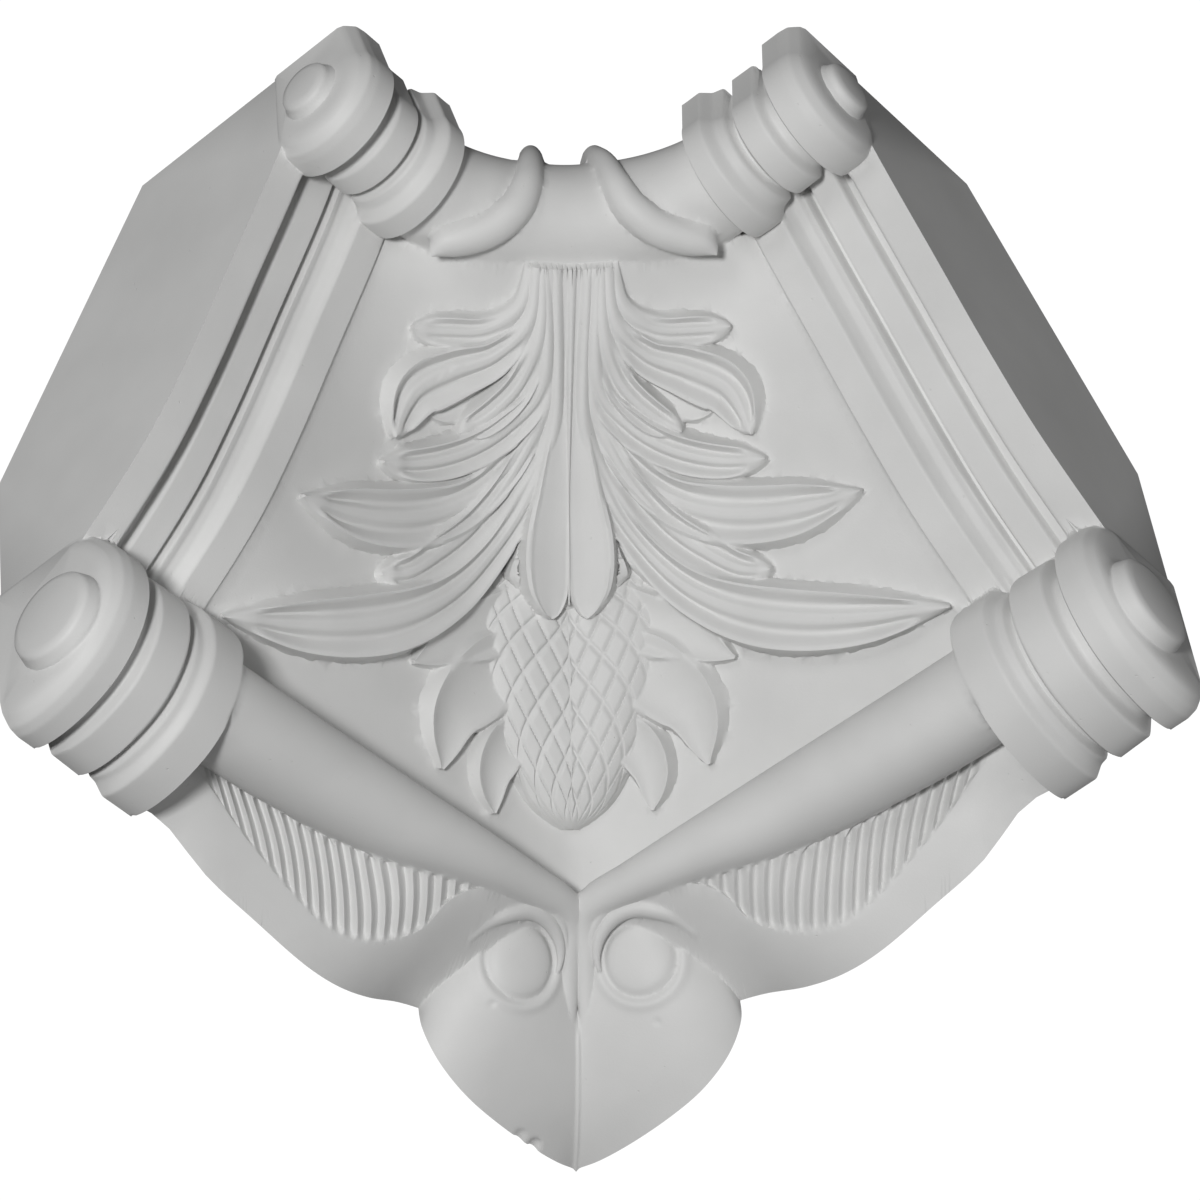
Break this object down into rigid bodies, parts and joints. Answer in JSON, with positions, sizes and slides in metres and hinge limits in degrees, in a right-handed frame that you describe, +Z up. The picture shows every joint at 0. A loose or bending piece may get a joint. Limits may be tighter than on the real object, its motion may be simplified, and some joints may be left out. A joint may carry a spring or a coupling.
{
  "type": "inside corner moulding",
  "caption": "Carved inside corner block for a crown moulding, with rolls on both arms, a leaf panel over a scaled cone and a pointed tail in the corner.",
  "frame": {"origin": "on the flat ceiling face, in the plane that halves the block", "axes": "+Z up, +Y into the corner of the room, +X along the longest size, from the left arm to the right arm"},
  "size_m": [0.4264, 0.3437, 0.2623],
  "materials": {
    "primed_foam": "factory primed off-white, matt"
  },
  "bodies": {
    "root": {"corner_moulding": "primed_foam"}
  },
  "joints": []
}
